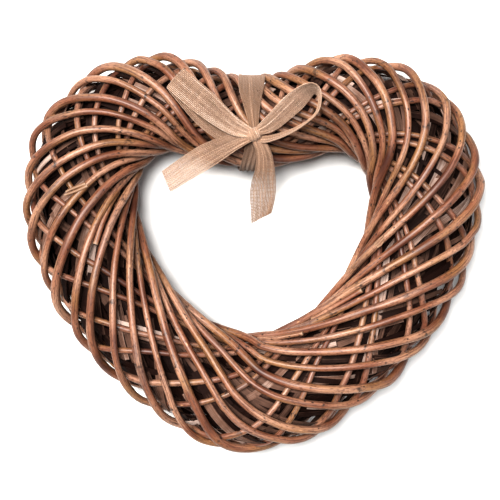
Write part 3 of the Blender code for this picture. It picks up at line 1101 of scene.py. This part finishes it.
@dataclass
class SplitBundle:
    """The bundle of split willow under the rods: splits wound both ways over lengthwise ones."""

    inset: float
    sink: float
    flats: int = 7
    flat_share: float = 0.66
    stations: int = 32
    wound: int = 560
    wound_width: tuple[float, float] = (0.0038, 0.0088)
    wound_reach: tuple[float, float] = (0.9, 2.0)  # radians round the tube
    wound_points: int = 16
    wound_scatter: float = 0.2  # radians
    wound_tone: tuple[float, float] = (0.25, 0.24)  # the usual one, and how much it varies
    # Painted shade: the deeper layers of splits are drawn darker
    wound_shade: float = 0.14  # how much darker each layer is than the one over it
    pitch: tuple[float, float] = (0.22, 0.55)
    against: float = 0.25  # share of them that lie the other way
    sprung: float = 0.002  # how far their ends may stand up
    lengthwise: int = 400
    width: tuple[float, float] = (0.005, 0.010)
    length: tuple[float, float] = (0.08, 0.20)
    point_step: float = 0.012
    tucked: float = 0.0035  # how far the ends of lengthwise splits dip
    tone: tuple[float, float] = (0.08, 0.16)
    # Painted shade: how much darker each deeper layer of the lengthwise splits is drawn
    shade: float = 0.10
    slant: float = math.radians(20)
    blunt: tuple[float, float] = (0.12, 0.25)  # how much the ends narrow, wound and lengthwise
    thickness_share: float = 0.0013 / 0.009  # against the width
    step: float = 0.0075
    layer_step: float = 0.0022
    grain_reach: float = 90.0  # metres of grain, from which each split takes its own place
    proud: float = 0.0012  # how far the uppermost splits rise over the solid that they stand for
    bulge: float = 0.0035  # and how much more at the outer rim
    # Long splits under all the others, which close the view through the bundle, drawn dark as
    # painted shade
    fillers: int = 15
    filler_points: int = 90
    filler_width: float = 0.013
    filler_depth: tuple[float, float] = (0.015, 0.001)  # and how much deeper every other one is
    filler_painted_shade: float = -0.18
    filler_run: float = 0.998  # of the way round the heart
    # Multiples of these two numbers spread evenly over a square
    spread: tuple[float, float] = (0.754878, 0.569840)
    seed: int = 5

    def corners(self, tube: HeartTube) -> Array:
        """Work out the corners of the CAD ring that this bundle stands for.

        Args:
            tube: what the rods are wound on.

        Returns:
            The corners.
        """
        edges = [flat + edge for flat in range(self.flats) for edge in (0, self.flat_share)]
        angles = np.array(edges) * 2 * math.pi / self.flats
        inset = self.inset + self.sink * tube.sunk(angles)
        rings = [tube.point(np.full(angles.shape, k / self.stations), angles, inset)
                 for k in range(self.stations)]
        return np.vstack(rings)

    def build(self, tube: HeartTube, tree: bpy.types.NodeTree, finish: bpy.types.Material
              ) -> bpy.types.Object:
        """Lay the splits, in place of the CAD ring.

        Args:
            tube: what the rods are wound on.
            tree: the tree that makes splits.
            finish: their material.

        Returns:
            The finished bundle, as one piece.
        """
        chance = random.Random(self.seed)
        chains: list[Array] = []
        values: dict[str, list[Array]] = {key: [] for key in ("facing", "broad", "along", "tone")}

        def lay(share: Array, angle: Array, depth: Array, broad: Array, tone: float) -> None:
            """Add one split.

            Args:
                share: where its points lie along the heart.
                angle: where they lie round the tube.
                depth: how far under the surface of the bundle they lie.
                broad: its width at each.
                tone: how pale it is, less the painted shade of its depth.
            """
            points = tube.point(share, angle, self.inset + self.sink * tube.sunk(angle) + depth)
            chains.append(points)
            values["facing"].append(tube.facing(share, angle))
            values["broad"].append(broad)
            values["along"].append(lengths(points) + chance.uniform(0, self.grain_reach))
            values["tone"].append(np.full(len(points), tone))

        for number in range(self.wound):
            run = np.linspace(0, 1, self.wound_points)
            from_middle = np.abs(2 * run - 1)
            reach = chance.uniform(*self.wound_reach)
            around, onward = number * np.array(self.spread) % 1.0
            middle = 2 * math.pi * around + chance.uniform(-self.wound_scatter,
                                                           self.wound_scatter)
            wound = middle + (run - 0.5) * reach
            hand = -1 if chance.random() < self.against else 1
            pitch = hand * chance.uniform(*self.pitch)
            start = onward - pitch * middle / (2 * math.pi)
            share = tube.winding(start, pitch, wound)
            layer = number % 3
            lifted = self.sprung * chance.random() * from_middle**3
            bulge = self.bulge * (1 - tube.sunk(wound)) ** 2
            depth = layer * self.layer_step - self.proud - lifted - bulge
            broad = chance.uniform(*self.wound_width) * (1 - self.blunt[0] * from_middle**4)
            lay(share, -wound, depth, broad,
                chance.gauss(*self.wound_tone) - self.wound_shade * layer)
        girth = 2 * math.pi * (tube.depth / 2 - self.inset)
        for number in range(self.lengthwise):
            reach = chance.uniform(*self.length)
            run = np.linspace(0, 1, max(6, round(reach / self.point_step)))
            from_middle = np.abs(2 * run - 1)
            around, onward = (number + 0.5) * np.array(self.spread) % 1.0
            share = onward + (run - 0.5) * reach / tube.length
            lean = chance.gauss(0, 1) * self.slant
            angle = 2 * math.pi * (around + (run - 0.5) * math.tan(lean) * reach / girth)
            layer = 2 + number % 3
            broad = chance.uniform(*self.width) * (1 - self.blunt[1] * from_middle**4)
            lay(share, angle, layer * self.layer_step + self.tucked * from_middle**3, broad,
                chance.gauss(*self.tone) - self.shade * layer)
        for number in range(self.fillers):
            run = np.linspace(0, self.filler_run, self.filler_points)
            level = np.ones(run.shape)
            lay(run, level * number * 2 * math.pi / self.fillers,
                level * (self.filler_depth[0] + self.filler_depth[1] * (number % 2)),
                level * self.filler_width, self.filler_painted_shade)
        source = path_mesh("split_paths", chains, values)
        set_inputs(source, tree, {
            "Thickness Share": self.thickness_share, "Step": self.step, "Finish": finish})
        bpy.context.view_layer.update()
        bundle = plain_mesh(source, "split_willow_bundle")
        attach(bundle, "root")
        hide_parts("split_core")
        log.info("split bundle: %d splits, %d faces", len(chains), len(bundle.data.polygons))
        return bundle


@dataclass
class HessianBow:
    """One hessian ribbon, tied round the dip: a band, a knot, two loops and two tails.

    A row of a loop or a tail has a place from the knot, in spans, the ribbon's width there as a
    share of the whole, and the bearing and the tilt of the line across it, in degrees.
    """

    width: float = 0.025
    # Fewer and thicker threads than the real weave's, which would pass the triangle limit
    warps: int = 17
    pick: float = 0.00125  # spacing of the weft threads
    warp_size: float = 0.00084
    weft_size: float = 0.00064
    thread_sides: int = 4
    lift: float = 0.00020
    gap: float = 0.0006
    thickness: float = 0.0012
    knot_size: tuple[float, float, float] = (0.013, 0.013, 0.013)
    knot_round: float = 0.0030  # how much lower its edges lie than its middle
    knot_turn: float = math.radians(24)
    knot_angle: float = 106.0  # round the tube, in degrees, as the next four are
    knot_picks: int = 34
    lean_reach: float = 60.0
    narrow_above: float = 70.0  # how far from the knot the band is drawn in
    narrow_below: float = 75.0
    level_below: float = 60.0  # how far it stays so on the inner side
    at_knot: float = 0.32
    below_knot: float = 0.62
    aside: float = 0.0035  # how far left of the dip the band lies
    knot_lean: float = 0.004  # and how far right of that the knot has been pulled
    band_points: int = 721
    route_points: int = 200
    span: float = 0.100
    left_loop: tuple[tuple[float, ...], ...] = (
        (-0.01, 0.00, 0.015, 0.36, 55, 0), (-0.20, 0.08, 0.07, 0.68, 62, 0),
        (-0.46, 0.28, 0.15, 0.96, 54, 0), (-0.71, 0.49, 0.17, 0.97, 49, 0),
        (-0.765, 0.54, 0.11, 0.96, 48, 0), (-0.69, 0.45, 0.065, 1.0, 50, 0),
        (-0.45, 0.17, 0.04, 0.96, 52, 0), (-0.21, -0.02, 0.00, 0.66, 60, 0),
        (-0.02, -0.01, -0.025, 0.36, 55, 0))
    right_loop: tuple[tuple[float, ...], ...] = (
        (0.02, 0.025, 0.02, 0.24, 110, 20), (0.16, 0.10, 0.08, 0.72, 134, 35),
        (0.38, 0.30, 0.17, 0.96, 134, 40), (0.55, 0.43, 0.20, 1.0, 110, 66),
        (0.635, 0.37, 0.19, 1.0, 30, 84), (0.60, 0.19, 0.17, 1.0, -10, 84),
        (0.40, 0.04, 0.13, 0.96, -52, 80), (0.16, -0.04, 0.05, 0.56, -65, 62),
        (0.02, -0.04, -0.02, 0.24, -80, 20))
    left_tail: tuple[tuple[float, ...], ...] = (
        (-0.02, -0.01, 0.005, 0.36, 116, 0), (-0.21, -0.08, 0.02, 0.64, 116, 0),
        (-0.43, -0.19, 0.01, 0.92, 116, -8), (-0.65, -0.315, -0.04, 1.0, 114, -22),
        (-0.86, -0.45, -0.10, 0.98, 110, -26))
    lower_tail: tuple[tuple[float, ...], ...] = (
        (0.01, -0.02, 0.00, 0.36, 0, 0), (0.08, -0.14, 0.01, 0.52, 22, 0),
        (0.105, -0.29, -0.01, 0.70, 8, -14), (0.085, -0.54, -0.06, 1.0, -4, -14),
        (0.07, -0.81, -0.10, 0.78, -2, -20))
    left_skew: float = 0.03  # how far aslant the end of the tail is cut, in widths
    lower_skew: float = -0.22
    skew_power: int = 6  # the higher, the nearer to the end the weave begins to lean
    # Painted shade: how much darker each length is drawn at its start and at its end, where it
    # lies in shade; the left tail's end is drawn a little paler, as painted light
    band_painted_shade: tuple[float, float] = (-0.338, -0.338)
    knot_painted_shade: tuple[float, float] = (0.0, 0.0)
    left_loop_painted_shade: tuple[float, float] = (0.0, -0.26)
    right_loop_painted_shade: tuple[float, float] = (0.0, -0.13)
    left_tail_painted_light_and_shade: tuple[float, float] = (-0.13, 0.04)
    lower_tail_painted_shade: tuple[float, float] = (-0.26, -0.26)
    turning: tuple[float, float] = (-2, 3)  # the tone goes over while this passes from 0 to 1
    pleats: float = 3.5
    pleat_depth: float = 0.5  # a share of what the spare cloth would make
    least_share: float = 0.2  # below which the pleats get no deeper
    cup: tuple[float, float] = (0.0010, 0.3)  # how far it cups, and where it is level

    def route(self, rows: tuple[tuple[float, ...], ...]) -> Array:
        """Run a smooth curve through a few chosen rows.

        Args:
            rows: the rows.

        Returns:
            Many rows, evenly placed between them.
        """
        held = np.array([rows[0], *rows, rows[-1]], dtype=float)
        made = []
        for run in np.linspace(0, len(rows) - 1, self.route_points):
            k = min(int(run), len(rows) - 2)
            t = run - k
            a, b, c, d = held[k:k + 4]
            made.append(0.5 * (2 * b + (c - a) * t + (2 * a - 5 * b + 4 * c - d) * t**2
                               + (3 * b - a - 3 * c + d) * t**3))
        return np.array(made)

    def pleated(self, middle: Array, across: Array, through: Array, share: Array,
                skew: float = 0.0) -> Array:
        """Lay a strip of cloth, drawn into pleats where it is narrower than the ribbon.

        Args:
            middle: the points along its middle.
            across, through: unit vectors across it and out of its face.
            share: its width as a share of the ribbon's.
            skew: how far its last rows lean, as a share of its width, where it is cut aslant.

        Returns:
            A grid of points, one row a station.
        """
        side = np.linspace(-1, 1, self.warps)
        half = share * self.width / 2
        held = np.clip(share, self.least_share, 1)
        spare = np.sqrt(np.clip(1 / held**2 - 1, 0, None))
        depth = spare * half / (math.pi * self.pleats) * self.pleat_depth
        wave = np.cos(math.pi * self.pleats * side)[None, :] * depth[:, None]
        cupped = self.cup[0] * (side**2 - self.cup[1])
        cupped = cupped[None, :] * np.clip(2 * share - 1, 0, 1)[:, None]
        grid = (middle[:, None, :] + across[:, None, :] * (half[:, None] * side)[:, :, None]
                + through[:, None, :] * (wave + cupped)[:, :, None])
        ahead = unit(np.gradient(middle, axis=0))
        end = np.linspace(0, 1, len(middle))[:, None] ** self.skew_power
        return grid + ahead[:, None, :] * (end * skew * self.width * side[None, :])[:, :, None]

    def strip(self, knot: Array, rows: tuple[tuple[float, ...], ...], skew: float = 0.0
              ) -> Array:
        """Lay a length of ribbon that leaves the knot.

        Args:
            knot: the middle of the knot.
            rows: the rows that it runs through.
            skew: how far aslant its end is cut, in widths.

        Returns:
            A grid of points, one row a weft thread.
        """
        fine = self.route(rows)
        reached = lengths(fine[:, :3] * self.span)
        even = np.linspace(0, reached[-1], round(reached[-1] / self.pick))
        held = np.stack([np.interp(even, reached, column) for column in fine.T], axis=1)
        middle = held[:, :3] * self.span + knot
        bearing, tilt = np.radians(held[:, 4]), np.radians(held[:, 5])
        across = np.stack([np.cos(bearing) * np.cos(tilt), np.sin(bearing) * np.cos(tilt),
                           np.sin(tilt)], axis=1)
        through = unit(np.cross(unit(np.gradient(middle, axis=0)), across))
        return self.pleated(middle, across, through, held[:, 3], skew)

    def band_place(self, tube: HeartTube, past: Array) -> Array:
        """Work out where the band lies along the heart.

        Args:
            tube: what the rods are wound on.
            past: how far past the knot a place on the band is, in degrees.

        Returns:
            The share of the heart's line at each place.
        """
        lean = smooth(1 - abs(past) / self.lean_reach)
        return (self.aside - self.knot_lean * lean) / tube.length

    def band(self, tube: HeartTube) -> Array:
        """Lay the ribbon round the tube, closed on itself.

        Args:
            tube: what the rods are wound on.

        Returns:
            A grid of points, one row a weft thread.
        """
        around = np.linspace(0, 2 * math.pi, self.band_points)
        lifted = -(self.gap + self.thickness / 2)
        share = self.band_place(tube, np.degrees(around) - self.knot_angle)
        reached = lengths(tube.point(share, around, lifted))
        even = np.linspace(0, reached[-1], round(reached[-1] / self.pick) + 1)[:-1]
        angle = np.interp(even, reached, around)
        past = np.degrees(angle) - self.knot_angle
        above = self.at_knot + (1 - self.at_knot) * smooth(-past / self.narrow_above)
        below = self.below_knot + (1 - self.below_knot) * smooth(
            (past - self.level_below) / self.narrow_below)
        share = self.band_place(tube, past)
        across = np.tile((1.0, 0.0, 0.0), (len(angle), 1))
        return self.pleated(tube.point(share, angle, lifted), across, tube.facing(share, angle),
                            np.where(past < 0, above, below))

    def knot_wrap(self, knot: Array) -> Array:
        """Lay the turn of ribbon that holds the knot, closed on itself.

        Args:
            knot: the middle of the knot.

        Returns:
            A grid of points, one row a weft thread.
        """
        across, along, high = np.array(self.knot_size) / 2
        around = np.linspace(0, 2 * math.pi, self.knot_picks + 1)[:-1]
        still = np.zeros(around.shape)
        middle = np.stack([still, along * np.cos(around), high * np.sin(around)], axis=1)
        through = np.stack([still, np.cos(around), np.sin(around)], axis=1)
        sideways = np.tile((1.0, 0.0, 0.0), (len(around), 1))
        grid = self.pleated(middle, sideways, through,
                            np.full(around.shape, 2 * across / self.width))
        drop = self.knot_round * np.linspace(-1, 1, self.warps) ** 2
        grid -= through[:, None, :] * drop[None, :, None]
        cos, sin = math.cos(self.knot_turn), math.sin(self.knot_turn)
        return knot + grid @ np.array(((cos, sin, 0.0), (-sin, cos, 0.0), (0.0, 0.0, 1.0)))

    def joined(self, grids: list[tuple[Array, bool, tuple[float, float]]]) -> bpy.types.Mesh:
        """Join the lengths of ribbon to one mesh, with what the tree reads.

        Args:
            grids: of each length, its points, whether it is closed on itself, and the painted
                light and shade that change its tone at its start and at its end.

        Returns:
            The mesh.
        """
        points: list[list[float]] = []
        faces: list[tuple[int, ...]] = []
        over: list[int] = []
        painted_light_and_shade: list[float] = []
        warp_pairs: set[tuple[int, int]] = set()
        for grid, closed, (first, last) in grids:
            rows, columns = grid.shape[:2]
            eased = smooth(np.linspace(*self.turning, rows))
            painted_light_and_shade += np.repeat(first + (last - first) * eased, columns).tolist()
            start = len(points)
            points += grid.reshape(-1, 3).tolist()
            over += [1 if (i + j) % 2 else -1 for i in range(rows) for j in range(columns)]
            for i in range(rows if closed else rows - 1):
                for j in range(columns):
                    here, ahead = start + i * columns + j, start + (i + 1) % rows * columns + j
                    warp_pairs.add((min(here, ahead), max(here, ahead)))
                    if j + 1 < columns:
                        faces.append((here, here + 1, ahead + 1, ahead))
        mesh = bpy.data.meshes.new("ribbon_grid")
        mesh.from_pydata(points, [], faces)
        flags = [tuple(sorted(edge.vertices)) in warp_pairs for edge in mesh.edges]
        mesh.attributes.new("is_warp", "BOOLEAN", "EDGE").data.foreach_set("value", flags)
        for key, numbers in (("over", over), ("tone", painted_light_and_shade)):
            layer = mesh.attributes.new(key, "FLOAT", "POINT")
            layer.data.foreach_set("value", np.array(numbers, np.float32))
        return mesh

    def build(self, tube: HeartTube, tree: bpy.types.NodeTree, finish: bpy.types.Material
              ) -> bpy.types.Object:
        """Weave the bow, in place of its CAD node.

        Args:
            tube: what the rods are wound on.
            tree: the tree that weaves.
            finish: the material of the threads.

        Returns:
            The finished bow, as one piece.
        """
        knot = tube.point(self.band_place(tube, np.zeros(())),
                          np.float64(math.radians(self.knot_angle)),
                          -self.gap - self.knot_size[2] / 2)
        grids = [(self.band(tube), True, self.band_painted_shade),
                 (self.knot_wrap(knot), True, self.knot_painted_shade),
                 (self.strip(knot, self.left_loop), False, self.left_loop_painted_shade),
                 (self.strip(knot, self.right_loop), False, self.right_loop_painted_shade),
                 (self.strip(knot, self.left_tail, self.left_skew), False, self.left_tail_painted_light_and_shade),
                 (self.strip(knot, self.lower_tail, self.lower_skew), False,
                  self.lower_tail_painted_shade)]
        source = new_object("ribbon_grid", self.joined(grids))
        set_inputs(source, tree, {
            "Warp": self.warp_size, "Weft": self.weft_size, "Lift": self.lift,
            "Sides": self.thread_sides, "Finish": finish})
        bpy.context.view_layer.update()
        bow = plain_mesh(source, "hessian_ribbon_bow")
        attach(bow, "root")
        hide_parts("hessian_bow")
        return bow


@dataclass(frozen=True)
class Lamp:
    """A distant soft light that shines from a place onto the middle of the floor."""

    name: str
    place: tuple[float, float, float]
    spread: float  # how wide it looks, in degrees
    strength: float
    colour: str

    def build(self) -> None:
        """Hang the lamp."""
        data = bpy.data.lights.new(self.name, "SUN")
        data.angle = math.radians(self.spread)
        data.energy = self.strength
        data.color = linear(self.colour)[:3]
        light = new_object(self.name, data)
        light.location = self.place
        light.rotation_euler = (-Vector(self.place)).to_track_quat("-Z", "Y").to_euler()


@dataclass
class Studio:
    """A pale floor, soft studio light from the upper left, and the camera straight above."""

    picture: float = 0.500  # metres across the picture at the heart's middle height
    middle: tuple[float, float, float] = (-0.0035, 0.0045, 0.046)
    lens: float = 120.0
    sensor: float = 36.0
    floor_reach: float = 4.0
    floor_colour: str = "#D3D2D0"
    floor_roughness: float = 0.9
    lamps: tuple[Lamp, ...] = (
        Lamp("key_softbox", (-0.80, 0.45, 1.45), 15, 3.9, "#FFFBF7"),
        Lamp("top_softbox", (-0.25, 0.25, 2.1), 20, 5.2, "#FFFFFF"),
        Lamp("right_fill", (1.1, -0.4, 1.2), 40, 0.70, "#F7F9FF"))
    air_colour: str = "#FFFFFF"
    air_strength: float = 0.06
    exposure: float = 0.14
    gamma: float = 0.78  # below 1 it deepens the shadows, as a product photograph does

    def floor(self) -> None:
        """Lay a wide pale sheet under the ornament."""
        mesh = bpy.data.meshes.new("studio_floor")
        reach = self.floor_reach
        mesh.from_pydata([(-reach, -reach, 0), (reach, -reach, 0), (reach, reach, 0),
                          (-reach, reach, 0)], [], [(0, 1, 2, 3)])
        material, tree, shader = new_material("pale_paper_sweep")
        feed(tree, shader, {
            "Base Color": linear(self.floor_colour), "Roughness": self.floor_roughness})
        mesh.materials.append(material)
        floor = new_object("studio_floor", mesh)

    def camera(self) -> None:
        """Aim a long lens straight down, with the top of the heart up in the picture."""
        data = bpy.data.cameras.new("camera")
        data.lens = self.lens
        data.sensor_width = self.sensor
        camera = new_object("camera", data)
        height = self.picture * self.lens / self.sensor
        camera.location = (self.middle[0], self.middle[1], self.middle[2] + height)
        bpy.context.scene.camera = camera

    def build(self) -> None:
        """Set up the studio."""
        self.floor()
        self.camera()
        for lamp in self.lamps:
            lamp.build()
        world = bpy.data.worlds.new("studio_air")
        world.use_nodes = True
        feed(world.node_tree, world.node_tree.nodes["Background"], {
            "Color": linear(self.air_colour), "Strength": self.air_strength})
        bpy.context.scene.world = world
        view = bpy.context.scene.view_settings
        view.view_transform = "Standard"
        view.exposure = self.exposure
        view.gamma = self.gamma


# Where the rods of the front are torn or end, as places on the floor under them
TEARS = (Tear(-0.1640, 0.0575, 0.024, 2, 0.0017, math.radians(22)),
         Tear(0.1220, 0.0020, 0.013, 3, 0.0012),
         Tear(-0.1625, 0.0115, -0.060, 1, 0.0028, barked=True),
         Tear(0.1085, -0.0475, -0.060, 1, 0.0025, barked=True),
         Tear(0.0485, -0.0925, -0.050, 1, 0.0021, barked=True))


def main() -> None:
    """Load the frame and dress every piece of it."""
    logging.basicConfig(level=logging.INFO, format="%(message)s")
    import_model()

    # The solids' sizes place each layer
    butt, tip, inner_butt, inner_tip = 0.0068, 0.0044, 0.0050, 0.0036
    nest, layer_gap, rim_gap = 0.0034, 0.0022, 0.0008
    inner_inset = butt + layer_gap + inner_butt / 2
    # How much thicker the rods are drawn than their solids, at the butt and at the tip
    outer_drawn, inner_drawn = (1.14, 1.34), (1.16, 1.4)
    tube = HeartTube()
    bundle = SplitBundle(inset=inner_inset + inner_butt / 2 + layer_gap, sink=nest)
    tube.settle(*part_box("split_core"), bundle.corners(tube))
    outer = Winding(
        "outer_rod", "wound_rod", rods=21, hand=Hand.OUTWARD, advance=0.405,
        inset=butt / 2 + rim_gap, sink=0.0, nest=nest, butt=butt * outer_drawn[0],
        tip=tip * outer_drawn[1], sides=12, wander=0.0035, stray=0.13, tears=TEARS)
    inner = Winding(
        "inner_rod", "cross_rod", rods=16, hand=Hand.INWARD, advance=0.36, inset=inner_inset,
        sink=nest, nest=0.0, butt=inner_butt * inner_drawn[0], tip=inner_tip * inner_drawn[1],
        sides=10, wander=0.008, stray=0.2, pairing=0.26)

    rods = rod_tree()
    brown = Willow("boiled_willow_bark", "#A07B64", "#7A4E37", "#3B180B")
    # The thin rods' bark is a little redder than the outer rods', and drawn darker as painted
    # shade, since they lie deeper
    thin_shaded = Willow("boiled_willow_bark_thin_shaded", "#94705C", "#724835", "#3A190D")
    outer.build(tube, rods, brown.make(), "brown_willow")
    inner.build(tube, rods, thin_shaded.make(), "thin_willow")
    bundle.build(tube, split_tree(), SplitWillow().make())
    HessianBow().build(tube, weave_tree(), JuteHessian().make())
    Studio().build()


if __name__ == "__main__":
    main()
